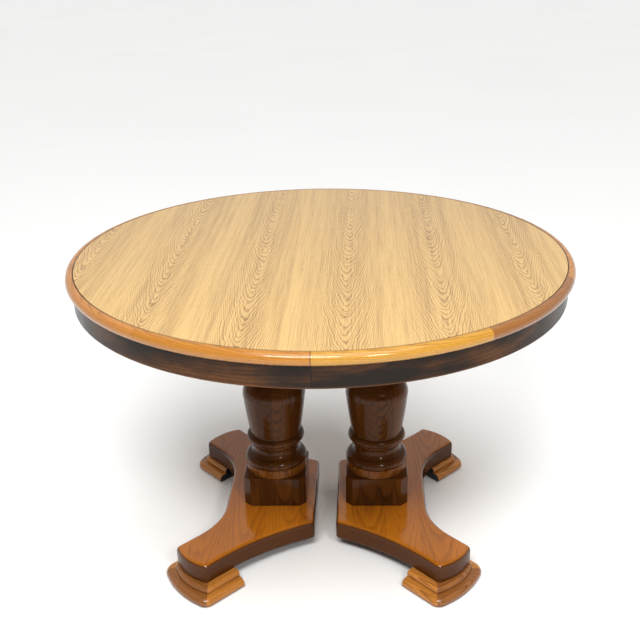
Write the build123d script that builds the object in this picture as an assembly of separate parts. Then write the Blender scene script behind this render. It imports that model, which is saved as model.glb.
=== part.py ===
from build123d import *
import math
import os

os.makedirs("parts", exist_ok=True)

# Round extension table on two turned pedestals.
# Millimetres.  +Z up, floor at z = 0, origin on the floor under the middle of
# the top.  X is the direction the two halves slide apart, front is -Y.

# ------------------------------------------------------------ driving sizes
TOP_DIAMETER = 1219.2
TABLE_HEIGHT = 771.0
TRAVEL = 305.0              # how far each half slides out
HALF_GAP = 0.1              # half of the joint line between the two halves
FIT = 0.3                   # gap round parts that only drop into each other
CLEAR = 1.0                 # gap between a moving rail and the other half

# top
TOP_THICKNESS = 28.0
LAMINATE = 1.2
MOULDING_WIDTH = 19.6
MOULDING_VEE = 2.2
SEGMENTS = 5                # edge moulding pieces in each half

# apron
APRON_SETBACK = 13.8
APRON_THICKNESS = 19.0
APRON_HEIGHT = 51.0
APRON_ROUND = 4.0
BLOCK_ANGLES = (-72.0, -38.0, 0.0, 38.0, 72.0)
BLOCK_SIZE = 28.0
BLOCK_HEIGHT = 46.0

# base
GLIDE_HEIGHT = 1.5
GLIDE_RADIUS = 11.0
FOOT_HEIGHT = 34.5
SLAB_THICKNESS = 50.0
SLAB_INNER_X = 28.0
SLAB_INNER_Y = 155.0
SLAB_TOE_INNER = (279.0, 340.0)
SLAB_TOE_OUTER = (367.0, 256.0)
SLAB_WAIST_X = 266.5
SLAB_WAIST_FLAT = 75.0      # half of the straight part of the waist
SLAB_FRONT_HOLLOW = 20.0
SLAB_TOE_BULGE = 14.0
SLAB_CORNER = 13.0
SLAB_ROUND = 11.0

# feet: how far each member stands out past the leg above it
FOOT_LENGTH = 84.0
FOOT_SETBACK = 7.0          # foot sits back from the end of the leg
FOOT_SHIFT = 5.0            # and stands a little to the inner side of it
FOOT_SKEW = 0.09            # its ends lean back towards the outer side
FOOT_BULGE = 19.0
FOOT_CORE_INSET = 8.0
FOOT_UPPER_OUT = 14.0
FOOT_LOWER_OUT = 34.0
FOOT_QUIRK_OUT = 10.0
FOOT_QUIRK = 1.8
FOOT_UPPER_HEIGHT = 12.5
FOOT_UPPER_ROUND = 8.0
FOOT_LOWER_ROUND = 12.0
FOOT_TUCK = 5.0
FOOT_INNER_CORNER = 24.0
FOOT_OUTER_CORNER = 34.0

# pedestal
COLUMN_X = 134.5
BLOCK_LOW_WIDTH = 164.0
BLOCK_LOW_HEIGHT = 81.5
BLOCK_TOP_WIDTH = 150.0
BLOCK_TOP_HEIGHT = 78.0
BLOCK_CHAMFER = 18.0
BLOCK_BEVEL = 2.0
PLATE_THICKNESS = 25.0
PLATE_LENGTH = 250.0
PLATE_WIDTH = 300.0
PLATE_INNER_X = 22.0
ROD_RADIUS = 5.0
ROD_CLEAR = 0.5
NUT_RADIUS = 10.0
NUT_HEIGHT = 8.0
NUT_POCKET_RADIUS = 14.0
NUT_POCKET_DEPTH = 11.0

# extension slides
SLIDE_Y = 200.0
CENTRE_WIDTH = 22.0
CENTRE_LENGTH = 800.0
SIDE_WIDTH = 26.0
RAIL_HEIGHT = 36.0
RAIL_OUT = 505.0            # own half: rail end from the joint
RAIL_IN = 345.0             # reach under the other half
RAIL_GAP = 0.4              # between centre rail and side rail
TONGUE_HEIGHT = 7.0
TONGUE_DEPTH = 6.0
TONGUE_RISE = 4.5           # tongue above the rail's lower face
SPREADER_WIDTH = 36.0
SPREADER_THICKNESS = 12.0
CLEAT_X = 460.0
CLEAT_WIDTH = 40.0
CLEAT_LENGTH = 300.0
CLEAT_HEIGHT = 30.0

# gears that keep the halves moving equally
GEAR_MODULE = 1.75
GEAR_TEETH = 16
GEAR_ADDENDUM = 1.5
GEAR_DEDENDUM = 1.95
GEAR_BACKLASH = 0.25
GEAR_HEIGHT = 8.0
GEAR_ANGLE = math.radians(20.0)
GEAR_PIN_RADIUS = 3.0
GEAR_PIN_CLEAR = 0.05
RACK_HEIGHT = 10.0
RACK_BACK = 22.0            # back of the rack from the centre line
RACK_RISE = 24.0            # middle of the rack above the rail's lower face
RACK_SPARE = 22.0

# alignment pins along the joint, and the two latches
PIN_RADIUS = 5.0
PIN_BURIED = 20.0
PIN_REACH = 16.0
PIN_Y = (157.0, 557.0)
LATCH_X = 30.0
LATCH_Y = 330.0
LATCH_RADIUS = 4.0
LATCH_CLEAR = 0.05
LATCH_WIDTH = 24.0
LATCH_THICKNESS = 3.0
LATCH_DROP = 4.0            # top of the lever below the underside of the top
LATCH_HEAD = 8.0
LATCH_PLAY = 0.3
LATCH_BITE = 8.0

# screws
SCREW_RADIUS = 2.2
SCREW_HEAD = 4.5
SCREW_HEAD_HEIGHT = 3.0
SCREW_BITE = 14.0

# ---------------------------------------------------------- derived levels
TOP_RADIUS = TOP_DIAMETER / 2
CORE_RADIUS = TOP_RADIUS - MOULDING_WIDTH
Z_UNDER = TABLE_HEIGHT - TOP_THICKNESS
Z_CORE = TABLE_HEIGHT - LAMINATE
Z_APRON = Z_UNDER - APRON_HEIGHT
APRON_RADIUS = TOP_RADIUS - APRON_SETBACK
APRON_INSIDE = APRON_RADIUS - APRON_THICKNESS
Z_SLAB = GLIDE_HEIGHT + FOOT_HEIGHT
Z_FLOOR = Z_SLAB + SLAB_THICKNESS
Z_PLATE = Z_UNDER - PLATE_THICKNESS
Z_TURNED = Z_FLOOR + BLOCK_LOW_HEIGHT
Z_BLOCK_TOP = Z_PLATE - BLOCK_TOP_HEIGHT
Z_CENTRE_TOP = Z_UNDER - CLEAR
Z_CENTRE_LOW = Z_CENTRE_TOP - RAIL_HEIGHT
Z_SIDE_LOW = Z_CENTRE_LOW + CLEAR
Z_RACK = Z_CENTRE_LOW + RACK_RISE
Z_TONGUE = Z_CENTRE_LOW + TONGUE_RISE
PITCH_RADIUS = GEAR_MODULE * GEAR_TEETH / 2
PITCH = math.pi * GEAR_MODULE

# -------------------------------------------------------------- small tools
LOW = (Align.CENTER, Align.CENTER, Align.MIN)


def disc(x, y, z, radius, height):
    return Pos(x, y, z) * Cylinder(radius, height, align=LOW)


def block(x0, x1, y0, y1, z0, z1):
    box = Box(x1 - x0, y1 - y0, z1 - z0)
    return Pos((x0 + x1) / 2, (y0 + y1) / 2, (z0 + z1) / 2) * box


def band(y_a, y_b, x0, x1, z0, z1):
    return block(x0, x1, min(y_a, y_b), max(y_a, y_b), z0, z1)


def prism(points, z0, z1):
    face = make_face(Polyline(*points, close=True))
    return Pos(0, 0, z0) * extrude(face, amount=z1 - z0)


def group(solids):
    return Compound(children=list(solids))


def on_side(shape, side):
    """Right half as drawn, left half as its mirror image."""
    if side > 0:
        return shape
    return mirror(shape, about=Plane.YZ)


def at_back(shape, end):
    """Back of the table as drawn, front as its mirror image."""
    if end > 0:
        return shape
    return mirror(shape, about=Plane.XZ)


def save(shape, name):
    export_step(shape, "parts/" + name + ".step")


def screw(x, y, z, length):
    """Wood screw driven upward, head flush with the face at height z."""
    head = disc(x, y, z, SCREW_HEAD, SCREW_HEAD_HEIGHT)
    return head + disc(x, y, z, SCREW_RADIUS, length)


# --------------------------------------------------------------------- top
def half_disc(radius, z0, height):
    whole = disc(HALF_GAP, 0, z0, radius, height)
    reach = radius + 10
    return whole & block(HALF_GAP, HALF_GAP + reach, -reach, reach, z0, z0 + height)


def pin_holes(radius, depth):
    """Holes in the joint face, bored along X."""
    holes = []
    z = Z_UNDER + (Z_CORE - Z_UNDER) / 2
    for y in PIN_Y:
        for sign in (-1, 1):
            hole = Rot(0, 90, 0) * Cylinder(radius, 2 * depth)
            holes.append(Pos(HALF_GAP, sign * y, z) * hole)
    return holes


def top_core(side):
    core = half_disc(CORE_RADIUS, Z_UNDER, Z_CORE - Z_UNDER)
    if side > 0:
        core = core - pin_holes(PIN_RADIUS + FIT, PIN_REACH + 2 * FIT)
    else:
        core = core - pin_holes(PIN_RADIUS, PIN_BURIED)
    for y in (-LATCH_Y, LATCH_Y):
        core = core - disc(LATCH_X, y, Z_UNDER, LATCH_RADIUS, LATCH_BITE)
    for x, y in plate_screw_places():
        core = core - disc(x, y, Z_UNDER, SCREW_RADIUS, SCREW_BITE)
    for x, y in rail_screw_places(side):
        core = core - disc(x, y, Z_UNDER, SCREW_RADIUS, SCREW_BITE)
    return core


def top_laminate():
    return half_disc(CORE_RADIUS, Z_CORE, LAMINATE)


def moulding_profile():
    nose = TOP_THICKNESS / 2
    flat = TOP_RADIUS - nose
    top = TABLE_HEIGHT
    low = Z_UNDER
    inner = CORE_RADIUS
    vee = MOULDING_VEE
    edges = [
        Line((inner + vee, top), (flat, top)),
        ThreePointArc((flat, top), (TOP_RADIUS, low + nose), (flat, low)),
        Line((flat, low), (inner, low)),
        Line((inner, low), (inner, top - vee)),
        Line((inner, top - vee), (inner + vee, top)),
    ]
    return Plane.XZ * make_face(edges)


def edge_moulding():
    sweep = 180.0 / SEGMENTS
    first = revolve(moulding_profile(), axis=Axis.Z, revolution_arc=sweep)
    pieces = []
    for i in range(SEGMENTS):
        turned = Rot(0, 0, -90 + i * sweep) * first
        pieces.append(Pos(HALF_GAP, 0, 0) * turned)
    return pieces


# ------------------------------------------------------------------- apron
def apron():
    r0 = APRON_INSIDE
    r1 = APRON_RADIUS
    low = Z_APRON
    rim = APRON_ROUND
    mid = rim * (1 - math.sqrt(0.5))
    edges = [
        Line((r0, Z_UNDER), (r1, Z_UNDER)),
        Line((r1, Z_UNDER), (r1, low + rim)),
        ThreePointArc((r1, low + rim), (r1 - mid, low + mid), (r1 - rim, low)),
        Line((r1 - rim, low), (r0, low)),
        Line((r0, low), (r0, Z_UNDER)),
    ]
    ring = revolve(Plane.XZ * make_face(edges), axis=Axis.Z, revolution_arc=180)
    return Pos(HALF_GAP, 0, 0) * (Rot(0, 0, -90) * ring)


def apron_blocks():
    inside = disc(HALF_GAP, 0, Z_UNDER - BLOCK_HEIGHT, APRON_INSIDE, BLOCK_HEIGHT)
    pieces = []
    for angle in BLOCK_ANGLES:
        piece = block(
            APRON_INSIDE - BLOCK_SIZE, APRON_INSIDE + 5,
            -BLOCK_SIZE, BLOCK_SIZE,
            Z_UNDER - BLOCK_HEIGHT, Z_UNDER,
        )
        piece = Pos(HALF_GAP, 0, 0) * (Rot(0, 0, angle) * piece)
        pieces.append(piece & inside)
    return pieces


def end_cleat():
    half = CLEAT_LENGTH / 2
    wide = CLEAT_WIDTH / 2
    cleat = block(CLEAT_X - wide, CLEAT_X + wide, -half, half, Z_UNDER - CLEAT_HEIGHT, Z_UNDER)
    return chamfer(cleat.faces().sort_by(Axis.Z)[0].edges(), 4)


# ---------------------------------------------------------------- pedestal
def turned_profile():
    """Half section of the turning from the lower block to the upper block."""
    z = Z_TURNED
    arris = z + 217.5
    neck = arris + 45
    ring = Z_BLOCK_TOP - 26
    edges = [Line((0, z), (81, z))]

    def line_to(r, h):
        edges.append(Line(edges[-1] @ 1, (r, h)))

    def arc_to(rm, hm, r, h):
        edges.append(ThreePointArc(edges[-1] @ 1, (rm, hm), (r, h)))

    # plain collar, then a half torus that sweeps up into the hollow neck
    line_to(80.5, z + 1.5)
    line_to(80.5, z + 21)
    line_to(79, z + 22.5)
    line_to(80.5, z + 24)
    arc_to(81, z + 35, 72.5, z + 45)
    arc_to(62, z + 53, 59.5, z + 64)
    arc_to(61, z + 71, 66, z + 76)
    line_to(67.5, z + 79)
    line_to(67.5, z + 82)
    line_to(70, z + 84)
    # slim ring under the vase, with a quirk above it
    arc_to(76, z + 94, 70, z + 104)
    line_to(66.5, z + 105.5)
    line_to(66.5, z + 108)
    # vase swelling to the arris, then the sloping shoulder
    arc_to(75, z + 163, 81.5, arris - 2)
    line_to(82, arris)
    arc_to(78.5, arris + 20, 61, arris + 42)
    # upper neck and bead
    line_to(60, neck)
    arc_to(49, neck + 32, 55, neck + 64)
    line_to(58, neck + 66)
    arc_to(64, neck + 76, 58, neck + 86)
    line_to(55, neck + 88)
    # plain upper shaft and the ring under the block
    line_to(60, ring - 14)
    arc_to(69, ring, 62, ring + 14)
    line_to(66, ring + 16)
    line_to(66, Z_BLOCK_TOP)
    line_to(0, Z_BLOCK_TOP)
    line_to(0, z)
    return Plane.XZ * make_face(edges)


def square_block(width, z0, height, bevel_top):
    post = Pos(0, 0, z0) * Box(width, width, height, align=LOW)
    post = chamfer(post.edges().filter_by(Axis.Z), BLOCK_CHAMFER)
    order = -1 if bevel_top else 0
    face = post.faces().sort_by(Axis.Z)[order]
    return chamfer(face.edges(), BLOCK_BEVEL)


def column():
    body = revolve(turned_profile(), axis=Axis.Z)
    body = body + square_block(BLOCK_LOW_WIDTH, Z_FLOOR, BLOCK_LOW_HEIGHT, True)
    body = body + square_block(BLOCK_TOP_WIDTH, Z_BLOCK_TOP, BLOCK_TOP_HEIGHT, False)
    bore = disc(0, 0, Z_FLOOR - 1, ROD_RADIUS + ROD_CLEAR, Z_PLATE - Z_FLOOR + 2)
    return Pos(COLUMN_X, 0, 0) * (body - bore)


def tie_rod():
    low = Z_SLAB + 1
    high = Z_UNDER - 1
    return disc(COLUMN_X, 0, low, ROD_RADIUS, high - low)


def nut(z):
    face = RegularPolygon(radius=NUT_RADIUS, side_count=6) - Circle(ROD_RADIUS)
    return Pos(COLUMN_X, 0, z) * extrude(face, amount=NUT_HEIGHT)


def tie_nuts():
    low = nut(Z_SLAB + NUT_POCKET_DEPTH - NUT_HEIGHT)
    high = nut(Z_UNDER - NUT_POCKET_DEPTH)
    return [low, high]


def plate_screw_places():
    mid = PLATE_INNER_X + PLATE_LENGTH / 2
    reach = PLATE_LENGTH / 2 - 24
    y = PLATE_WIDTH / 2 - 20
    return [(mid + k * reach, s * y) for k in (-1, 0, 1) for s in (-1, 1)]


def mount_plate():
    half = PLATE_WIDTH / 2
    x1 = PLATE_INNER_X + PLATE_LENGTH
    plate = block(PLATE_INNER_X, x1, -half, half, Z_PLATE, Z_UNDER)
    plate = chamfer(plate.edges().filter_by(Axis.Z), 12)
    plate = chamfer(plate.faces().sort_by(Axis.Z)[0].edges(), 3)
    plate = plate - disc(COLUMN_X, 0, Z_PLATE - 1, ROD_RADIUS + ROD_CLEAR, PLATE_THICKNESS + 2)
    pocket = Z_UNDER - NUT_POCKET_DEPTH
    plate = plate - disc(COLUMN_X, 0, pocket, NUT_POCKET_RADIUS, NUT_POCKET_DEPTH)
    for x, y in plate_screw_places():
        plate = plate - screw(x, y, Z_PLATE, PLATE_THICKNESS)
    return plate


def plate_screws():
    length = PLATE_THICKNESS + SCREW_BITE
    return [screw(x, y, Z_PLATE, length) for x, y in plate_screw_places()]


# -------------------------------------------------------------------- base
def bowed(start, end, bow):
    """Point off the middle of a line, to the left of its direction."""
    dx = end[0] - start[0]
    dy = end[1] - start[1]
    span = math.hypot(dx, dy)
    mx = (start[0] + end[0]) / 2
    my = (start[1] + end[1]) / 2
    return (mx - dy / span * bow, my + dx / span * bow)


TOE_WIDTH = math.dist(SLAB_TOE_INNER, SLAB_TOE_OUTER)
TOE_MID = bowed(SLAB_TOE_INNER, SLAB_TOE_OUTER, 0.0)
TOE_ANGLE = math.degrees(
    math.atan2(SLAB_TOE_OUTER[1] - SLAB_TOE_INNER[1], SLAB_TOE_OUTER[0] - SLAB_TOE_INNER[0])
) + 90.0


def outer_edge():
    """Toe, straight leg, tangent arc and flat waist, then the same back out."""
    toe_x, toe_y = SLAB_TOE_OUTER
    lean = math.radians(TOE_ANGLE)
    turn = math.pi / 2 - lean
    over = toe_x - SLAB_WAIST_X
    rise = toe_y - SLAB_WAIST_FLAT
    radius = (rise - math.tan(lean) * over) / (
        math.sin(turn) - math.tan(lean) * (1 - math.cos(turn))
    )

    def on_arc(angle, sign):
        x = SLAB_WAIST_X + radius * (1 - math.cos(angle))
        return (x, sign * (SLAB_WAIST_FLAT + radius * math.sin(angle)))

    edges = []
    for sign in (1, -1):
        end = on_arc(turn, sign)
        waist = on_arc(0, sign)
        edges.append(Line((toe_x, sign * toe_y), end))
        edges.append(ThreePointArc(end, on_arc(turn / 2, sign), waist))
    edges.append(Line(on_arc(0, 1), on_arc(0, -1)))
    return edges


def base_slab():
    a = (SLAB_INNER_X, SLAB_INNER_Y)
    b = SLAB_TOE_INNER
    c = SLAB_TOE_OUTER
    am = (a[0], -a[1])
    bm = (b[0], -b[1])
    cm = (c[0], -c[1])
    hollow = bowed(a, b, -SLAB_FRONT_HOLLOW)
    toe = bowed(b, c, SLAB_TOE_BULGE)
    edges = [
        Line(am, a),
        ThreePointArc(a, hollow, b),
        ThreePointArc(b, toe, c),
        *outer_edge(),
        ThreePointArc(cm, (toe[0], -toe[1]), bm),
        ThreePointArc(bm, (hollow[0], -hollow[1]), am),
    ]
    slab = extrude(make_face(edges), amount=SLAB_THICKNESS)
    slab = fillet(slab.edges().filter_by(Axis.Z), SLAB_CORNER)
    slab = fillet(slab.faces().sort_by(Axis.Z)[-1].edges(), SLAB_ROUND)
    slab = fillet(slab.faces().sort_by(Axis.Z)[0].edges(), SLAB_ROUND * 0.45)
    slab = Pos(0, 0, Z_SLAB) * slab
    slab = slab - disc(COLUMN_X, 0, Z_SLAB - 1, ROD_RADIUS + ROD_CLEAR, SLAB_THICKNESS + 2)
    return slab - disc(COLUMN_X, 0, Z_SLAB - 1, NUT_POCKET_RADIUS, NUT_POCKET_DEPTH + 1)


def place_foot(shape):
    """Foot shapes are drawn pointing along +X, then set under the back toe."""
    shape = Pos(0, FOOT_SHIFT, 0) * shape
    return Pos(TOE_MID[0], TOE_MID[1], 0) * (Rot(0, 0, TOE_ANGLE) * shape)


def toe_line(out, bulge):
    """Ends and middle of a foot's curved end, drawn out past the leg."""
    half = TOE_WIDTH / 2 + out
    reach = out - FOOT_SETBACK
    inner = (reach + FOOT_SKEW * half, half)
    outer = (reach - FOOT_SKEW * half, -half)
    return inner, (reach + bulge, 0), outer


def foot_level(out, z0, z1, bulge=FOOT_BULGE):
    """One level of the foot, as a block with a square back."""
    inner, middle, outer = toe_line(out, bulge)
    back = -FOOT_LENGTH - FOOT_SETBACK
    back_inner = (back + FOOT_SKEW * inner[1], inner[1])
    back_outer = (back + FOOT_SKEW * outer[1], outer[1])
    edges = [
        Line(back_outer, outer),
        ThreePointArc(outer, middle, inner),
        Line(inner, back_inner),
        Line(back_inner, back_outer),
    ]
    return Pos(0, 0, z0) * extrude(make_face(edges), amount=z1 - z0)


def in_front(edges):
    """Edges of a foot that aren't part of its back face."""
    limit = -FOOT_LENGTH / 2 - FOOT_SETBACK
    kept = []
    for edge in edges:
        if edge.length > FOOT_LENGTH / 2 and abs(edge.center().Y) < 1 and edge.center().X < limit:
            continue
        kept.append(edge)
    return kept


def moulded_level(out, z0, z1, round_top, round_low):
    """A level of the moulding: corners rounded in plan, then its rims."""
    level = foot_level(out, z0, z1)
    corners = level.edges().filter_by(Axis.Z).sort_by(Axis.X)[-2:].sort_by(Axis.Y)
    trim = FOOT_LOWER_OUT - out
    level = fillet(corners[0], max(FOOT_OUTER_CORNER - trim, 1.0))
    corners = level.edges().filter_by(Axis.Z).sort_by(Axis.Y)
    inner = corners.filter_by(lambda e: e.center().X > 0)[-1]
    level = fillet(inner, max(FOOT_INNER_CORNER - trim, 1.0))
    for order, radius in ((-1, round_top), (0, round_low)):
        if radius > 0:
            rim = in_front(level.faces().sort_by(Axis.Z)[order].edges())
            level = fillet(rim, radius)
    return level


def foot_core():
    core = foot_level(-FOOT_CORE_INSET, GLIDE_HEIGHT, Z_SLAB)
    return place_foot(core)


def foot_moulding():
    split = Z_SLAB - FOOT_UPPER_HEIGHT
    quirk = split - FOOT_QUIRK
    upper = moulded_level(FOOT_UPPER_OUT, split, Z_SLAB, FOOT_UPPER_ROUND, 2)
    neck = moulded_level(FOOT_QUIRK_OUT, quirk, split, 0, 0)
    lower = moulded_level(
        FOOT_LOWER_OUT, GLIDE_HEIGHT, quirk, FOOT_LOWER_ROUND, FOOT_TUCK
    )
    ring = upper + neck + lower
    ring = ring - foot_level(-FOOT_CORE_INSET, 0, Z_SLAB + 1)
    # mitres run from the core's corners through the moulding's corners
    inner, _, outer = toe_line(-FOOT_CORE_INSET, FOOT_BULGE)
    far_inner, _, far_outer = toe_line(3 * FOOT_LOWER_OUT, FOOT_BULGE)
    heel = -3 * FOOT_LENGTH
    zones = [
        [inner, far_inner, (heel, far_inner[1]), (heel, inner[1])],
        [inner, far_inner, far_outer, outer],
        [outer, far_outer, (heel, far_outer[1]), (heel, outer[1])],
    ]
    return [place_foot(ring & prism(zone, 0, Z_SLAB + 1)) for zone in zones]


def glides():
    pieces = []
    for end in (-1, 1):
        for v in (-1, 1):
            for u in (-0.75, -0.2):
                spot = disc(u * FOOT_LENGTH, v * TOE_WIDTH * 0.24, 0, GLIDE_RADIUS, GLIDE_HEIGHT)
                spot = fillet(spot.faces().sort_by(Axis.Z)[0].edges(), 1)
                pieces.append(at_back(place_foot(spot), end))
    return pieces


# ------------------------------------------------------- extension slides
def side_rail_lane(side):
    """Left half's rails run outside the centre rails, right half's inside."""
    out = 1 if side < 0 else -1
    face = SLIDE_Y + out * (CENTRE_WIDTH / 2 + RAIL_GAP)
    return out, face


def rail_screw_places(side):
    out, face = side_rail_lane(side)
    y = face + out * (SIDE_WIDTH - 7)
    spots = (60.0, 250.0, 440.0)
    return [(x, sign * y) for x in spots for sign in (-1, 1)]


def rack_span():
    """Stretch of rail that passes the pinion, seen from the joint."""
    return -TRAVEL - RACK_SPARE, RACK_SPARE


def side_rail(side):
    """Drawn for the back, own half at +X."""
    out, face = side_rail_lane(side)
    rail = band(face, face + out * SIDE_WIDTH, -RAIL_IN, RAIL_OUT, Z_SIDE_LOW, Z_UNDER)
    groove = band(
        face - out, face + out * (TONGUE_DEPTH + RAIL_GAP), -RAIL_IN - 1, RAIL_OUT + 1,
        Z_TONGUE - RAIL_GAP, Z_TONGUE + TONGUE_HEIGHT + RAIL_GAP,
    )
    x0, x1 = rack_span()
    seat = band(
        face - out, SLIDE_Y + out * RACK_BACK, x0, x1,
        Z_RACK - RACK_HEIGHT / 2, Z_RACK + RACK_HEIGHT / 2,
    )
    relief = band(
        face - out, face + out * (SIDE_WIDTH + 1), -RAIL_IN - 1, 0,
        Z_UNDER - CLEAR, Z_UNDER + 1,
    )
    rail = rail - groove - seat - relief
    for x, y in rail_screw_places(side):
        if y > 0:
            rail = rail - screw(x, y, Z_SIDE_LOW, RAIL_HEIGHT + 2)
    return rail


def rail_screws(side):
    length = Z_UNDER - Z_SIDE_LOW + SCREW_BITE
    return [screw(x, y, Z_SIDE_LOW, length) for x, y in rail_screw_places(side)]


def rack(side):
    """Toothed strip with a space over the pinion's middle when closed."""
    out, face = side_rail_lane(side)
    x0, x1 = rack_span()
    tip = PITCH_RADIUS - GEAR_ADDENDUM
    root = PITCH_RADIUS + GEAR_DEDENDUM
    half_mid = PITCH / 4 - GEAR_BACKLASH / 4
    half_tip = half_mid - GEAR_ADDENDUM * math.tan(GEAR_ANGLE)
    half_root = half_mid + GEAR_DEDENDUM * math.tan(GEAR_ANGLE)
    points = [(x0, RACK_BACK), (x0, root)]
    first = math.ceil(x0 / PITCH) + 1
    last = math.floor(x1 / PITCH) - 1
    for k in range(first, last + 1):
        x = (k - 0.5) * PITCH
        points.append((x - half_root, root))
        points.append((x - half_tip, tip))
        points.append((x + half_tip, tip))
        points.append((x + half_root, root))
    points.append((x1, root))
    points.append((x1, RACK_BACK))
    strip = prism([(x, out * y) for x, y in points], 0, RACK_HEIGHT)
    return Pos(0, SLIDE_Y, Z_RACK - RACK_HEIGHT / 2) * strip


def involute(angle):
    return math.tan(angle) - angle


def pinion():
    base = PITCH_RADIUS * math.cos(GEAR_ANGLE)
    tip = PITCH_RADIUS + GEAR_ADDENDUM
    root = PITCH_RADIUS - GEAR_DEDENDUM
    half_mid = (PITCH / 2 - GEAR_BACKLASH / 2) / 2 / PITCH_RADIUS

    def half_angle(r):
        rolled = math.acos(min(1.0, base / r))
        return half_mid + involute(GEAR_ANGLE) - involute(rolled)

    steps = 5
    radii = [base + (tip - base) * i / steps for i in range(steps + 1)]
    flank = [(root, half_angle(base))] + [(r, half_angle(r)) for r in radii]
    points = []
    for tooth in range(GEAR_TEETH):
        middle = 2 * math.pi * tooth / GEAR_TEETH
        for r, a in flank:
            points.append((r * math.cos(middle - a), r * math.sin(middle - a)))
        for r, a in reversed(flank):
            points.append((r * math.cos(middle + a), r * math.sin(middle + a)))
    wheel = prism(points, Z_RACK - GEAR_HEIGHT / 2, Z_RACK + GEAR_HEIGHT / 2)
    bore = disc(0, 0, Z_RACK - GEAR_HEIGHT, GEAR_PIN_RADIUS + GEAR_PIN_CLEAR, 2 * GEAR_HEIGHT)
    return Pos(0, SLIDE_Y, 0) * (wheel - bore)


def centre_rail():
    half = CENTRE_LENGTH / 2
    wide = CENTRE_WIDTH / 2
    rail = block(-half, half, SLIDE_Y - wide, SLIDE_Y + wide, Z_CENTRE_LOW, Z_CENTRE_TOP)
    reach = wide + TONGUE_DEPTH
    rail = rail + block(
        -half, half, SLIDE_Y - reach, SLIDE_Y + reach, Z_TONGUE, Z_TONGUE + TONGUE_HEIGHT
    )
    room = PITCH_RADIUS + GEAR_ADDENDUM + CLEAR
    slot = GEAR_HEIGHT / 2 + FIT
    rail = rail - block(
        -room, room, SLIDE_Y - wide - 1, SLIDE_Y + wide + 1, Z_RACK - slot, Z_RACK + slot
    )
    # a wide rail is let in on both sides, clear of the passing racks
    tip = PITCH_RADIUS - GEAR_ADDENDUM - RAIL_GAP
    tooth = RACK_HEIGHT / 2 + RAIL_GAP
    for out in (-1, 1):
        rail = rail - band(
            SLIDE_Y + out * tip, SLIDE_Y + out * (tip + CENTRE_WIDTH), -half - 1, half + 1,
            Z_RACK - tooth, Z_RACK + tooth,
        )
    pin = disc(0, SLIDE_Y, Z_CENTRE_LOW - 1, GEAR_PIN_RADIUS, RAIL_HEIGHT + 2)
    return rail - pin


def gear_pins():
    pin = disc(0, SLIDE_Y, Z_CENTRE_LOW, GEAR_PIN_RADIUS, RAIL_HEIGHT - 1)
    return [pin, at_back(pin, -1)]


def centre_spreader():
    wide = SPREADER_WIDTH / 2
    reach = SLIDE_Y + CENTRE_WIDTH / 2
    low = Z_CENTRE_LOW - SPREADER_THICKNESS
    bar = block(-wide, wide, -reach, reach, low, Z_CENTRE_LOW)
    return chamfer(bar.faces().sort_by(Axis.Z)[0].edges(), 2)


# ------------------------------------------------- pins and latches
def alignment_pins():
    z = Z_UNDER + (Z_CORE - Z_UNDER) / 2
    x0 = -HALF_GAP - PIN_BURIED
    x1 = HALF_GAP + PIN_REACH
    pieces = []
    for y in PIN_Y:
        for sign in (-1, 1):
            pin = Cylinder(PIN_RADIUS, x1 - x0)
            pin = chamfer(pin.faces().sort_by(Axis.Z)[-1].edges(), 1.5)
            pieces.append(Pos((x0 + x1) / 2, sign * y, z) * (Rot(0, 90, 0) * pin))
    return pieces


def latch_stud(x, y):
    """Shouldered stud: shank in the top, collar, waist and head."""
    lever_top = Z_UNDER - LATCH_DROP
    lever_low = lever_top - LATCH_THICKNESS
    head_low = lever_low - LATCH_PLAY - 3
    stud = disc(x, y, head_low, LATCH_RADIUS, Z_UNDER + LATCH_BITE - head_low)
    stud = stud + disc(x, y, head_low, LATCH_HEAD, 3)
    collar = LATCH_DROP - LATCH_PLAY
    return stud + disc(x, y, Z_UNDER - collar, LATCH_HEAD, collar)


def latch_studs(x):
    return [latch_stud(x, -LATCH_Y), latch_stud(x, LATCH_Y)]


def latch_lever():
    """Back lever, open: it points outward along +Y from its pivot."""
    span = 2 * LATCH_X
    wide = LATCH_WIDTH / 2
    z0 = Z_UNDER - LATCH_DROP - LATCH_THICKNESS
    z1 = z0 + LATCH_THICKNESS
    lever = block(0, span, -wide, wide, z0, z1)
    lever = lever + disc(0, 0, z0, wide, LATCH_THICKNESS)
    lever = lever + disc(span, 0, z0, wide, LATCH_THICKNESS)
    lever = lever - disc(0, 0, z0 - 1, LATCH_RADIUS + LATCH_CLEAR, LATCH_THICKNESS + 2)
    # mouth that swings over the keeper, open on the leading side
    gap = LATCH_RADIUS + FIT
    ring = disc(0, 0, z0 - 1, span + gap, LATCH_THICKNESS + 2)
    ring = ring - disc(0, 0, z0 - 1, span - gap, LATCH_THICKNESS + 2)
    ring = ring & block(0, span + gap, -3 * wide, 0, z0 - 1, z1 + 1)
    lever = lever - ring - disc(span, 0, z0 - 1, gap, LATCH_THICKNESS + 2)
    return Pos(-LATCH_X, LATCH_Y, 0) * (Rot(0, 0, 90) * lever)


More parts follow.
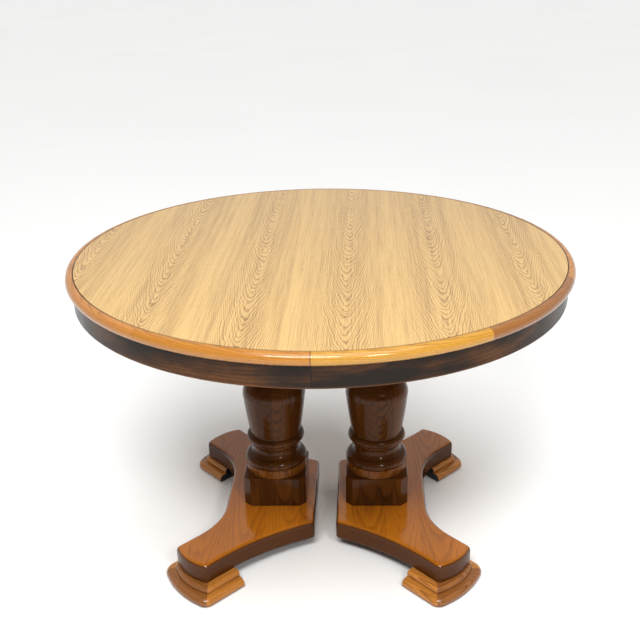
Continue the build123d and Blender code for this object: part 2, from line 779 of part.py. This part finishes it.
# ------------------------------------------------------------------ output
for side, half in ((1, "right_"), (-1, "left_")):
    one_of_half = {
        "top_core": top_core(side),
        "top_laminate": top_laminate(),
        "apron": apron(),
        "end_cleat": end_cleat(),
        "mount_plate": mount_plate(),
        "column": column(),
        "tie_rod": tie_rod(),
        "base_slab": base_slab(),
    }
    for name, shape in one_of_half.items():
        save(on_side(shape, side), half + name)
    groups_of_half = {
        "edge_moulding": edge_moulding(),
        "apron_blocks": apron_blocks(),
        "plate_screws": plate_screws(),
        "tie_nuts": tie_nuts(),
        "rail_screws": rail_screws(side),
        "glides": glides(),
    }
    for name, shapes in groups_of_half.items():
        save(group([on_side(s, side) for s in shapes]), half + name)
    for end, place in ((1, "_back"), (-1, "_front")):
        save(at_back(on_side(foot_core(), side), end), half + "foot_core" + place)
        strips = [at_back(on_side(s, side), end) for s in foot_moulding()]
        save(group(strips), half + "foot_moulding" + place)
        save(at_back(on_side(side_rail(side), side), end), half + "slide_rail" + place)
        save(at_back(on_side(rack(side), side), end), half + "rack" + place)

for end, place in ((1, "_back"), (-1, "_front")):
    save(at_back(centre_rail(), end), "centre_rail" + place)
    save(at_back(pinion(), end), "pinion" + place)
    save(at_back(latch_lever(), end), "latch_lever" + place)

save(group(gear_pins()), "gear_pins")
save(centre_spreader(), "centre_spreader")
save(group(alignment_pins()), "alignment_pins")
save(group(latch_studs(-LATCH_X)), "latch_pivots")
save(group(latch_studs(LATCH_X)), "latch_keepers")
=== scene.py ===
import math

import bpy
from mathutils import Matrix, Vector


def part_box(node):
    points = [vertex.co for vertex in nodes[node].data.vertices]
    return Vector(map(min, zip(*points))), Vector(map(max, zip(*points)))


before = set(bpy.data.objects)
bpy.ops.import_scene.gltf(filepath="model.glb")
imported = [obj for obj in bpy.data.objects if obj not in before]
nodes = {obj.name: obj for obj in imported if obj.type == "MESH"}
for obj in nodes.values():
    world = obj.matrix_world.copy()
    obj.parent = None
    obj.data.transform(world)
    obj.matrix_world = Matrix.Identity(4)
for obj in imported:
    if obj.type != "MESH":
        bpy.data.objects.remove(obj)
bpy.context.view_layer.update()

HALVES = (("right", 1), ("left", -1))
ENDS = (("back", 1), ("front", -1))

# ------------------------------------------------------------------ frame
rim_low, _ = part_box("right_edge_moulding")
core_low, core_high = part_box("right_top_core")
_, slab_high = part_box("right_base_slab")
column_low, column_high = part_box("right_column")
joint_x = core_low.x                    # half the gap between the two halves
core_radius = core_high.x - core_low.x
column_x = (column_low.x + column_high.x) / 2
BLOCK_HEIGHT = 0.0815                   # square block at the foot of the column
DISC_HEIGHT = 0.0225                    # plain disc on that block
disc_low = slab_high.z + BLOCK_HEIGHT
disc_high = disc_low + DISC_HEIGHT
PIECES_PER_HALF = 5                     # pieces of edge moulding round each half
MOULDING_SWEEP = math.pi / PIECES_PER_HALF
GROOVE_WIDTH = 0.0042                   # groove between the laminate and the edge
APRON_HEIGHT = 0.0505
FOOT_TURN = math.radians(46.4)          # each foot points this far round

# wood sizes, in metres
PRINT_REPEAT = 0.206                    # the printed arches come round again
PRINT_LINE = 0.0054                     # between two printed lines
COLUMN_BOARD = 0.042
SLAB_BOARD = 0.088
SEAM_WIDTH = 0.0006

# light of the studio
SWEEP_START, SWEEP_FULL = -0.15, 0.45   # how far back the white sweep begins
SWEEP_GLOW = 0.6
ROOM_GLOW = 0.12                        # light from the room in front of it
FLOOR_REACH = 45.0


# ------------------------------------------------------- node graph helper
def tone(r, g, b):
    """An sRGB colour, 0 to 255, as the linear colour that a shader takes."""
    def linear(c):
        c /= 255
        return c / 12.92 if c <= 0.04045 else ((c + 0.055) / 1.055) ** 2.4
    return (linear(r), linear(g), linear(b), 1.0)


class Graph:
    """A material being wired. A value is a number, a tuple or a socket."""

    def __init__(self, name):
        self.material = bpy.data.materials.new(name)
        self.material.use_nodes = True
        self.tree = self.material.node_tree
        self.tree.nodes.clear()

    def node(self, kind, **settings):
        made = self.tree.nodes.new(kind)
        for key, value in settings.items():
            setattr(made, key, value)
        return made

    def put(self, socket, value):
        if isinstance(value, bpy.types.NodeSocket):
            self.tree.links.new(value, socket)
        elif value is not None:
            socket.default_value = value

    def math(self, operation, a, b=None, clamp=False):
        made = self.node("ShaderNodeMath", operation=operation, use_clamp=clamp)
        for socket, value in zip(made.inputs, (a, b)):
            self.put(socket, value)
        return made.outputs[0]

    def add(self, a, b):
        return self.math("ADD", a, b)

    def times(self, a, b):
        return self.math("MULTIPLY", a, b)

    def minus(self, a, b):
        return self.math("SUBTRACT", a, b)

    def place(self):
        """x, y, z of the surface point in the row frame, in metres."""
        coords = self.node("ShaderNodeTexCoord").outputs["Object"]
        split = self.node("ShaderNodeSeparateXYZ")
        self.put(split.inputs[0], coords)
        return split.outputs

    def facing(self):
        """x, y, z of the surface normal in the object's own frame."""
        coords = self.node("ShaderNodeTexCoord").outputs["Normal"]
        split = self.node("ShaderNodeSeparateXYZ")
        self.put(split.inputs[0], coords)
        return split.outputs

    def vector(self, x, y, z):
        made = self.node("ShaderNodeCombineXYZ")
        for socket, value in zip(made.inputs, (x, y, z)):
            self.put(socket, value)
        return made.outputs[0]

    def noise(self, vector, scale=1.0, detail=2.0, roughness=0.5):
        made = self.node("ShaderNodeTexNoise")
        self.put(made.inputs["Vector"], vector)
        made.inputs["Scale"].default_value = scale
        made.inputs["Detail"].default_value = detail
        made.inputs["Roughness"].default_value = roughness
        return made.outputs["Fac"]

    def chance(self, value):
        """A steady random number from 0 to 1 for each whole value."""
        made = self.node("ShaderNodeTexWhiteNoise", noise_dimensions="1D")
        self.put(made.inputs["W"], value)
        return made.outputs["Value"]

    def remap(self, value, low, high, to_low=0.0, to_high=1.0, smooth=False):
        made = self.node("ShaderNodeMapRange")
        made.interpolation_type = "SMOOTHSTEP" if smooth else "LINEAR"
        for socket, v in zip(made.inputs, (value, low, high, to_low, to_high)):
            self.put(socket, v)
        return made.outputs[0]

    def ramp(self, value, stops, interpolation="LINEAR"):
        made = self.node("ShaderNodeValToRGB")
        made.color_ramp.interpolation = interpolation
        elements = made.color_ramp.elements
        while len(elements) < len(stops):
            elements.new(0.5)
        for element, (position, colour) in zip(elements, stops):
            element.position = position
            element.color = colour if isinstance(colour, tuple) else (colour,) * 3 + (1,)
        self.put(made.inputs[0], value)
        return made.outputs[0]

    def mix(self, factor, a, b):
        made = self.node("ShaderNodeMix", data_type="RGBA", blend_type="MIX")
        self.put(made.inputs[0], factor)
        self.put(made.inputs[6], a)
        self.put(made.inputs[7], b)
        return made.outputs[2]

    def bump(self, height, strength, distance):
        made = self.node("ShaderNodeBump")
        made.inputs["Strength"].default_value = strength
        made.inputs["Distance"].default_value = distance
        self.put(made.inputs["Height"], height)
        return made.outputs[0]

    def surface(self, colour, roughness, normal=None, **others):
        shader = self.node("ShaderNodeBsdfPrincipled")
        self.put(shader.inputs["Base Color"], colour)
        self.put(shader.inputs["Roughness"], roughness)
        if normal is not None:
            self.put(shader.inputs["Normal"], normal)
        for key, value in others.items():
            self.put(shader.inputs[key.replace("_", " ")], value)
        out = self.node("ShaderNodeOutputMaterial")
        self.tree.links.new(shader.outputs[0], out.inputs[0])
        return self.material


# ---------------------------------------------------------------- oak wood
def oak(g, along, across, depth, pith, slope, ring, sway=0.012, ragged=0.0032):
    """Growth rings round a pith line that tilts through the board.

    Where the cut runs near the pith the rings show as nested arches, and
    further out as straight lines. Returns the late-wood line strength, the
    open pores, the slow colour drift and the fine fibre, each 0 to 1. Ring is
    the space between two rings; sway and ragged are how far a ring strays.
    """
    slow = g.vector(g.times(across, 9), g.times(along, 2.2), g.times(depth, 9))
    drift = g.noise(slow, detail=3, roughness=0.55)
    swing = g.times(g.minus(drift, 0.5), sway * 2)
    jitter_at = g.vector(g.times(across, 60), g.times(along, 14), g.times(depth, 60))
    jitter = g.times(g.minus(g.noise(jitter_at, detail=2), 0.5), ragged)
    height = g.add(g.add(pith, g.times(along, slope)), g.add(depth, swing))
    radius = g.math("SQRT", g.add(g.times(across, across), g.times(height, height)))
    radius = g.add(radius, jitter)
    uneven = g.noise(g.vector(g.times(radius, 34), 0.0, 0.0), detail=2)
    phase = g.math("FRACT", g.add(g.times(radius, 1 / ring), g.times(uneven, 1.6)))
    line = g.ramp(phase, [(0.0, 1.0), (0.16, 0.72), (0.5, 0.12), (0.86, 0.0), (1.0, 0.9)])
    pore_at = g.vector(g.times(across, 1500), g.times(along, 42), g.times(depth, 1500))
    pores = g.remap(g.noise(pore_at, detail=2, roughness=0.6), 0.52, 0.70)
    pores = g.times(pores, g.add(g.times(line, 0.75), 0.25))
    fibre_at = g.vector(g.times(across, 340), g.times(along, 7), g.times(depth, 340))
    fibre = g.noise(fibre_at, detail=4, roughness=0.65)
    return line, pores, drift, fibre


def boards(g, across, width, seed):
    """Splits a panel into glued boards: place across a board, and its draws."""
    index = g.math("FLOOR", g.times(across, 1 / width))
    inside = g.minus(g.minus(across, g.times(index, width)), width / 2)
    pick = g.chance(g.add(index, seed))
    pick_2 = g.chance(g.add(index, seed + 31.7))
    edge = g.minus(width / 2, g.math("ABSOLUTE", inside))
    seam = g.remap(edge, 0.0, SEAM_WIDTH, 1.0, 0.0)
    return inside, pick, pick_2, seam


def stained(g, parts, light, dark, pore, tint=None, line_share=0.62):
    """Colour of stained oak from what oak() gives; tint shifts a whole board."""
    line, pores, drift, fibre = parts
    share = g.times(line, line_share)
    share = g.add(share, g.times(g.minus(fibre, 0.5), 0.9))
    share = g.add(share, g.times(g.minus(drift, 0.5), 0.8))
    if tint is not None:
        share = g.add(share, g.times(g.minus(tint, 0.5), 0.45))
    colour = g.mix(g.math("MAXIMUM", share, 0.0, clamp=True), light, dark)
    return g.mix(g.times(pores, 0.75), colour, pore)


def scuffs(g, x, y, z, low, high):
    """Roughness of a lacquered surface, with faint rubbed and hazy places."""
    haze = g.noise(g.vector(x, y, z), scale=11, detail=4, roughness=0.6)
    fine = g.noise(g.vector(x, y, z), scale=160, detail=2)
    return g.remap(g.add(g.times(haze, 0.8), g.times(fine, 0.2)), 0.3, 0.7, low, high)


LACQUER = {"Coat_Weight": 0.5, "Coat_Roughness": 0.08, "Specular_IOR_Level": 0.2}
THIN_COAT = {"Coat_Weight": 0.15, "Coat_Roughness": 0.07, "Specular_IOR_Level": 0.08}


def laminate(name):
    """Printed flat-cut oak: a row of nested arches, then straight lines."""
    g = Graph(name)
    x, y, z = g.place()
    inside, pick, _, _ = boards(g, g.add(x, 0.039), PRINT_REPEAT, 3.0)
    drift = g.noise(g.vector(g.times(x, 7), g.times(y, 2.6), 0.0), detail=2)
    flame = g.noise(g.vector(g.times(x, 26), g.times(y, 13), 1.0), detail=1)
    jag = g.noise(g.vector(g.times(x, 110), g.times(y, 70), 1.0), detail=2)
    centre = g.remap(g.math("ABSOLUTE", inside), 0.03, 0.10, 1.0, 0.0, smooth=True)
    across = g.add(inside, g.times(g.minus(drift, 0.5), 0.03))
    radius = g.math("SQRT", g.add(g.times(across, across), 0.00012))
    wave = g.times(g.minus(flame, 0.5), g.add(g.times(centre, 0.013), 0.003))
    wave = g.add(wave, g.times(g.minus(jag, 0.5), g.add(g.times(centre, 0.0042), 0.0008)))
    run = g.times(g.add(g.add(y, 0.5), g.times(pick, 0.4)), -0.17)
    radius = g.add(g.add(radius, wave), g.times(run, g.add(g.times(centre, 0.25), 0.75)))
    coarse = g.times(radius, 1 / PRINT_LINE)
    uneven = g.noise(g.vector(g.times(radius, 90), 0.0, 0.0), detail=1)
    phase = g.math("FRACT", g.add(coarse, g.times(uneven, 1.2)))
    line = g.ramp(phase, [(0.0, 0.9), (0.14, 0.75), (0.34, 0.15), (0.85, 0.0), (1.0, 0.9)])
    fleck_at = g.vector(g.times(x, 900), g.times(y, 26), 0.0)
    fleck = g.noise(fleck_at, detail=2, roughness=0.65)
    fibre = g.noise(g.vector(g.times(x, 260), g.times(y, 5), 0.0), detail=3, roughness=0.6)
    bands = g.noise(g.vector(g.times(x, 62), g.times(y, 0.9), 4.0), detail=3)
    share = g.times(line, g.add(g.times(centre, 0.52), 0.18))
    share = g.add(share, g.times(g.minus(fibre, 0.5), 1.0))
    share = g.add(share, g.times(g.minus(bands, 0.44), 0.75))
    share = g.add(share, g.remap(fleck, 0.55, 0.75, 0.0, 0.35))
    light = tone(208, 170, 106)
    dark = tone(124, 84, 38)
    colour = g.mix(g.math("MAXIMUM", share, 0.0, clamp=True), light, dark)
    gloss = scuffs(g, x, y, z, 0.20, 0.28)
    normal = g.bump(g.times(fleck, -1), 0.1, 0.0002)
    return g.surface(colour, gloss, normal, Coat_Weight=0.2, Coat_Roughness=0.12)


def joint_shade(g, x):
    """Dark line where the two halves meet."""
    return g.remap(g.math("ABSOLUTE", x), 0.0004, 0.0014, 1.0, 0.0)


def rim_oak(name):
    """Edge moulding: straight pieces cut to the curve, butted end to end."""
    g = Graph(name)
    x, y, z = g.place()
    turned = g.math("ARCTAN2", y, x)
    count = g.times(g.add(turned, math.pi / 2), 1 / MOULDING_SWEEP)
    index = g.math("FLOOR", count)
    within = g.minus(g.minus(count, index), 0.5)
    middle = g.minus(g.times(g.add(index, 0.5), MOULDING_SWEEP), math.pi / 2)
    cosine = g.math("COSINE", middle)
    sine = g.math("SINE", middle)
    out = g.add(g.times(x, cosine), g.times(y, sine))
    along = g.minus(g.times(y, cosine), g.times(x, sine))
    pick = g.chance(g.add(index, 12.0))
    parts = oak(g, g.add(along, g.times(pick, 3)), g.minus(out, core_radius), z,
                0.03, 0.05, 0.0036, sway=0.01)
    # tone of each piece, counted from the front joint: left ones are below 0
    place = g.times(g.add(index, 5.5), 0.1)
    light = g.ramp(place, [
        (0.0, tone(186, 124, 60)), (0.1, tone(176, 114, 52)), (0.2, tone(192, 130, 64)),
        (0.3, tone(180, 120, 56)), (0.4, tone(174, 116, 46)), (0.5, tone(188, 138, 54)),
        (0.6, tone(146, 96, 48)), (0.7, tone(186, 124, 58)), (0.8, tone(174, 110, 50)),
        (0.9, tone(192, 130, 64)),
    ], "CONSTANT")
    dark = g.mix(0.55, light, tone(96, 42, 12))
    colour = stained(g, parts, light, dark, tone(92, 44, 16), line_share=0.5)
    seam = g.remap(g.minus(0.5, g.math("ABSOLUTE", within)), 0.0, 0.0016, 1.0, 0.0)
    colour = g.mix(g.times(seam, 0.7), colour, tone(60, 28, 10))
    # painted shade: the moulding is darkened in the groove next to the laminate, along its
    # underside and at the joint of the halves
    from_middle = g.math("SQRT", g.add(g.times(x, x), g.times(y, y)))
    groove_edge = core_radius + GROOVE_WIDTH
    groove = g.remap(from_middle, groove_edge - 0.002, groove_edge, 1.0, 0.0)
    under = g.remap(z, rim_low.z, rim_low.z + 0.006, 0.75, 0.0)
    shade = g.math("MAXIMUM", groove, g.math("MAXIMUM", under, joint_shade(g, x)))
    colour = g.mix(g.times(shade, 0.85), colour, tone(48, 24, 10))
    normal = g.bump(g.minus(g.times(parts[1], -1), seam), 0.2, 0.0003)
    return g.surface(colour, scuffs(g, x, y, z, 0.2, 0.34), normal, **LACQUER)


def apron_oak(name, side):
    """Bent veneer with its grain running round the table."""
    g = Graph(name)
    x, y, z = g.place()
    turned = g.math("ARCTAN2", y, g.times(x, side))
    along = g.times(turned, core_radius)
    parts = oak(g, along, g.minus(z, rim_low.z), 0.0, 0.05 + 0.02 * side, 0.06, 0.008, sway=0.03)
    blotch = g.noise(g.vector(g.times(along, 6), 3.0 * side, g.times(z, 22)), detail=3)
    light = g.ramp(blotch, [
        (0.36, tone(84, 50, 22)), (0.5, tone(52, 31, 14)), (0.6, tone(26, 17, 10)),
    ])
    colour = stained(g, parts, light, tone(24, 13, 7), tone(14, 8, 5))
    apron_foot = rim_low.z - APRON_HEIGHT
    low = g.remap(z, apron_foot, apron_foot + 0.0055, 1.0, 0.0)
    colour = g.mix(g.times(low, 0.5), colour, tone(118, 72, 32))
    colour = g.mix(g.times(joint_shade(g, x), 0.8), colour, tone(18, 10, 6))
    normal = g.bump(g.times(parts[1], -1), 0.2, 0.0002)
    gloss = scuffs(g, x, y, z, 0.24, 0.36)
    return g.surface(colour, gloss, normal, Coat_Weight=0.1, Coat_Roughness=0.08,
                     Specular_IOR_Level=0.12)


def column_oak(name, side):
    """Turning glued up from thick boards, grain upright, over a plain disc."""
    g = Graph(name)
    x, y, z = g.place()
    across = g.minus(x, side * column_x)
    inside, pick, pick_2, seam = boards(g, g.add(across, 0.041), COLUMN_BOARD, 40 + 7 * side)
    along = g.add(g.times(z, -1), g.times(pick, 2))
    depth = g.add(y, g.times(pick_2, 0.05))
    parts = oak(g, along, inside, depth, 0.10, 0.05, 0.0052, sway=0.008, ragged=0.0012)
    light = g.mix(pick_2, tone(92, 52, 18), tone(70, 38, 12))
    colour = stained(g, parts, light, tone(40, 21, 8), tone(24, 13, 6), pick)
    colour = g.mix(g.times(seam, 0.45), colour, tone(22, 10, 4))
    # the disc under the torus is a lighter, cross-grained layer
    low = g.remap(z, disc_low, disc_low + 0.001)
    disc = g.times(low, g.remap(z, disc_high - 0.001, disc_high, 1.0, 0.0))
    turned = g.math("ARCTAN2", y, across)
    blocks = g.noise(g.vector(g.times(turned, 14), 2.0 * side, g.times(z, 30)), detail=2)
    layer = g.ramp(blocks, [(0.35, tone(92, 50, 16)), (0.65, tone(140, 84, 30))])
    colour = g.mix(g.times(disc, 0.75), colour, layer)
    normal = g.bump(g.times(parts[1], -1), 0.2, 0.0002)
    return g.surface(colour, scuffs(g, x, y, z, 0.12, 0.22), normal, **THIN_COAT)


def slab_oak(name, side):
    """Base: wide boards running front to back, with painted shade on their upright sides."""
    g = Graph(name)
    x, y, z = g.place()
    inside, pick, pick_2, seam = boards(g, g.add(x, 0.02 * side), SLAB_BOARD, 60 + 9 * side)
    along = g.add(g.times(y, -1), g.times(pick, 3))
    depth = g.add(g.minus(z, slab_high.z), g.times(pick_2, 0.02))
    across = g.add(inside, g.times(g.minus(pick_2, 0.5), 0.07))
    parts = oak(g, along, across, depth, 0.05, 0.035, 0.0032, sway=0.006, ragged=0.0014)
    light = g.mix(pick_2, tone(186, 112, 28), tone(170, 98, 20))
    colour = stained(g, parts, light, tone(118, 60, 12), tone(84, 40, 10), pick,
                     line_share=0.32)
    up = g.facing()[2]
    # painted shade: the upright sides and the arris are darkened by how far they turn from
    # straight up
    edge = g.remap(up, 0.55, 0.97, 1.0, 0.0)
    colour = g.mix(g.times(edge, 0.9), colour, tone(50, 23, 8))
    colour = g.mix(g.times(seam, 0.25), colour, tone(70, 34, 12))
    normal = g.bump(g.times(parts[1], -1), 0.2, 0.0002)
    # thick lacquer on the top and the arris, thin on the upright edges
    coat = g.remap(up, 0.05, 0.4, 0.08, 0.75)
    return g.surface(colour, scuffs(g, x, y, z, 0.16, 0.26), normal, Coat_Weight=coat,
                     Coat_Roughness=0.08, Specular_IOR_Level=0.12)


def foot_frame(g, node, side, end):
    """Along-leg and across-leg places, from the middle of the foot core."""
    low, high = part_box(node)
    x, y, z = g.place()
    x = g.minus(g.times(x, side), abs((low.x + high.x) / 2))
    y = g.minus(g.times(y, end), abs((low.y + high.y) / 2))
    along = g.add(g.times(x, math.cos(FOOT_TURN)), g.times(y, math.sin(FOOT_TURN)))
    across = g.minus(g.times(y, math.cos(FOOT_TURN)), g.times(x, math.sin(FOOT_TURN)))
    return along, across, z, (x, y, z)


def foot_oak(name, node, side, end):
    """Foot moulding: two side pieces with long grain, a darker toe piece."""
    g = Graph(name)
    along, across, z, spot = foot_frame(g, node, side, end)
    toe = g.remap(g.minus(g.add(along, 0.006), g.math("ABSOLUTE", across)), -0.0004, 0.0004)
    run = g.add(g.times(g.minus(1.0, toe), along), g.times(toe, across))
    wide = g.add(g.times(g.minus(1.0, toe), across), g.times(toe, along))
    shift = 1.7 * side + 0.9 * end
    parts = oak(g, g.add(run, shift), g.add(wide, 0.02), z, 0.05, 0.07, 0.0040, sway=0.01)
    light = g.mix(toe, tone(190, 124, 54), tone(146, 92, 44))
    dark = g.mix(toe, tone(104, 60, 20), tone(80, 44, 18))
    colour = stained(g, parts, light, dark, tone(70, 34, 14))
    # darker towards the bottom of the foot
    bottom_darkening = g.remap(z, 0.003, 0.010, 0.6, 0.0, smooth=True)
    colour = g.mix(bottom_darkening, colour, tone(58, 34, 20))
    # the sawn back ends and the inside are coloured near-black, like the core
    face_x, face_y, _ = g.facing()
    facing = g.add(
        g.times(face_x, side * math.cos(FOOT_TURN)), g.times(face_y, end * math.sin(FOOT_TURN))
    )
    sawn = g.math("MULTIPLY", g.remap(facing, -0.97, -0.93, 1.0, 0.0),
                  g.remap(along, -0.03, -0.02, 1.0, 0.0))
    colour = g.mix(sawn, colour, tone(22, 18, 15))
    normal = g.bump(g.times(parts[1], -1), 0.2, 0.0002)
    x, y, z = spot
    return g.surface(colour, scuffs(g, x, y, z, 0.2, 0.34), normal, **LACQUER)


def black_paint(name):
    g = Graph(name)
    x, y, z = g.place()
    cloud = g.noise(g.vector(x, y, z), scale=40, detail=5, roughness=0.6)
    colour = g.ramp(cloud, [(0.3, tone(20, 17, 14)), (0.7, tone(36, 30, 25))])
    brushed = g.noise(g.vector(g.times(x, 300), g.times(y, 300), g.times(z, 30)), detail=3)
    normal = g.bump(brushed, 0.3, 0.0005)
    return g.surface(colour, g.remap(cloud, 0.3, 0.7, 0.55, 0.8), normal)


def chipboard(name):
    """Core board under the laminate: pressed flakes, sealed brown below."""
    g = Graph(name)
    x, y, z = g.place()
    flakes = g.node("ShaderNodeTexVoronoi", feature="F1")
    g.put(flakes.inputs["Vector"], g.vector(g.times(x, 1.0), g.times(y, 0.45), z))
    flakes.inputs["Scale"].default_value = 420
    grey = g.node("ShaderNodeSeparateColor")
    g.put(grey.inputs[0], flakes.outputs["Color"])
    colour = g.ramp(grey.outputs[0], [
        (0.0, tone(96, 66, 40)), (0.5, tone(140, 104, 66)), (1.0, tone(170, 132, 88)),
    ])
    cloud = g.noise(g.vector(x, y, z), scale=9, detail=4)
    colour = g.mix(g.remap(cloud, 0.4, 0.7, 0.0, 0.4), colour, tone(92, 62, 38))
    normal = g.bump(flakes.outputs["Distance"], 0.3, 0.0006)
    return g.surface(colour, g.remap(cloud, 0.3, 0.7, 0.6, 0.8), normal)


def plain_wood(name, axis, light, dark):
    """Unstained hardwood for the parts under the top, sanded and waxed."""
    g = Graph(name)
    spots = g.place()
    along = spots[axis]
    across, depth = [spots[i] for i in range(3) if i != axis]
    parts = oak(g, along, g.add(across, 0.013), depth, 0.06, 0.04, 0.0035)
    colour = stained(g, parts, light, dark, tone(110, 78, 44))
    normal = g.bump(g.times(parts[1], -1), 0.3, 0.0003)
    return g.surface(colour, scuffs(g, *spots, 0.42, 0.58), normal)


def zinc(name):
    g = Graph(name)
    x, y, z = g.place()
    spangle = g.noise(g.vector(x, y, z), scale=260, detail=4, roughness=0.7)
    colour = g.ramp(spangle, [(0.3, tone(138, 136, 130)), (0.7, tone(190, 188, 180))])
    drawn = g.noise(g.vector(g.times(x, 900), g.times(y, 900), g.times(z, 80)), detail=2)
    normal = g.bump(drawn, 0.15, 0.0002)
    rough = g.remap(spangle, 0.3, 0.7, 0.28, 0.5)
    return g.surface(colour, rough, normal, Metallic=1.0)


def nylon(name):
    g = Graph(name)
    x, y, z = g.place()
    cloud = g.noise(g.vector(x, y, z), scale=180, detail=4)
    colour = g.ramp(cloud, [(0.3, tone(58, 42, 30)), (0.7, tone(78, 58, 42))])
    scratch = g.noise(g.vector(g.times(x, 1400), g.times(y, 90), z), detail=2)
    normal = g.bump(scratch, 0.2, 0.0003)
    return g.surface(colour, g.remap(cloud, 0.3, 0.7, 0.38, 0.6), normal)


# ----------------------------------------------------- materials onto nodes
def dress(node, material):
    mesh = nodes[node].data
    mesh.materials.clear()
    mesh.materials.append(material)


top_print = laminate("printed_oak")
rim = rim_oak("edge_moulding_oak")
board = chipboard("core_chipboard")
black = black_paint("black_paint")
metal = zinc("zinc_plate")
glide = nylon("brown_nylon")
maple = (tone(214, 170, 112), tone(170, 122, 70))
rail_wood = plain_wood("rail_hardwood", 0, *maple)
cross_wood = plain_wood("cross_hardwood", 1, *maple)

for half, side in HALVES:
    dress(f"{half}_top_laminate", top_print)
    dress(f"{half}_edge_moulding", rim)
    dress(f"{half}_top_core", board)
    dress(f"{half}_apron", apron_oak(f"{half}_apron_oak", side))
    dress(f"{half}_column", column_oak(f"{half}_column_oak", side))
    dress(f"{half}_base_slab", slab_oak(f"{half}_slab_oak", side))
    dress(f"{half}_glides", glide)
    for part in ("apron_blocks", "end_cleat", "mount_plate"):
        dress(f"{half}_{part}", cross_wood)
    for part in ("plate_screws", "rail_screws", "tie_rod", "tie_nuts"):
        dress(f"{half}_{part}", metal)
    for place, end in ENDS:
        core = f"{half}_foot_core_{place}"
        dress(core, black)
        strips = f"{half}_foot_moulding_{place}"
        dress(strips, foot_oak(f"{half}_{place}_foot_oak", core, side, end))
        dress(f"{half}_slide_rail_{place}", rail_wood)
        dress(f"{half}_rack_{place}", metal)

for place, _ in ENDS:
    dress(f"centre_rail_{place}", rail_wood)
    dress(f"pinion_{place}", metal)
    dress(f"latch_lever_{place}", metal)
for part in ("gear_pins", "latch_pivots", "latch_keepers"):
    dress(part, metal)
dress("centre_spreader", cross_wood)
dress("alignment_pins", rail_wood)


# -------------------------------------------------------------- floor
def floor():
    g = Graph("pale_floor")
    x, y, z = g.place()
    cloud = g.noise(g.vector(x, y, z), scale=0.8, detail=3)
    colour = g.ramp(cloud, [(0.3, tone(249, 249, 248)), (0.7, tone(252, 252, 251))])
    material = g.surface(colour, 0.7)
    mesh = bpy.data.meshes.new("floor")
    r = FLOOR_REACH
    corners = [(-r, -r, 0), (r, -r, 0), (r, r, 0), (-r, r, 0)]
    mesh.from_pydata(corners, [], [(0, 1, 2, 3)])
    mesh.materials.append(material)
    plane = bpy.data.objects.new("floor", mesh)
    bpy.context.scene.collection.objects.link(plane)


# -------------------------------------------------------------- lights
def softbox(name, place, aim, size, power):
    data = bpy.data.lights.new(name, "AREA")
    data.shape = "RECTANGLE"
    data.size, data.size_y = size
    data.energy = power
    lamp = bpy.data.objects.new(name, data)
    bpy.context.scene.collection.objects.link(lamp)
    lamp.location = place
    away = lamp.location - type(lamp.location)(aim)
    lamp.rotation_euler = away.to_track_quat("Z", "Y").to_euler()


def studio():
    """A white sweep behind, a dim room in front, a wide ceiling and two softboxes."""
    scene = bpy.context.scene
    scene.view_settings.view_transform = "Standard"
    world = bpy.data.worlds.new("studio")
    scene.world = world
    world.use_nodes = True
    tree = world.node_tree
    ahead = tree.nodes.new("ShaderNodeSeparateXYZ")
    tree.links.new(tree.nodes.new("ShaderNodeTexCoord").outputs["Generated"], ahead.inputs[0])
    fade = tree.nodes.new("ShaderNodeMapRange")
    fade.interpolation_type = "SMOOTHSTEP"
    steps = (SWEEP_START, SWEEP_FULL, ROOM_GLOW, SWEEP_GLOW)
    for socket, value in zip(list(fade.inputs)[1:5], steps):
        socket.default_value = value
    tree.links.new(ahead.outputs[1], fade.inputs[0])
    tree.links.new(fade.outputs[0], tree.nodes["Background"].inputs[1])
    tree.nodes["Background"].inputs[0].default_value = (1.0, 1.0, 1.0, 1.0)
    sun = bpy.data.lights.new("ceiling", "SUN")
    sun.energy = 2.0
    sun.angle = math.radians(50)
    lamp = bpy.data.objects.new("ceiling", sun)
    scene.collection.objects.link(lamp)
    lamp.rotation_euler = (math.radians(12), math.radians(4), 0.0)
    softbox("front_strip", (-0.3, -2.5, 3.0), (0, 0, 0.3), (1.5, 0.6), 90)
    softbox("front_right", (1.2, -2.8, 2.4), (0, 0, 0.3), (0.5, 0.5), 30)


# -------------------------------------------------------------- camera
def camera():
    """Stands in front of the table, a little right, looking down on the top."""
    data = bpy.data.cameras.new("camera")
    data.sensor_width = 36.0
    data.lens = 52.59
    data.shift_x = -0.0668          # the picture is cropped off centre
    eye = bpy.data.objects.new("camera", data)
    bpy.context.scene.collection.objects.link(eye)
    eye.location = (0.0988, -2.1837, 1.4997)
    eye.rotation_euler = (math.radians(90 - 22.69), math.radians(0.057), 0.0)
    bpy.context.scene.camera = eye


floor()
studio()
camera()
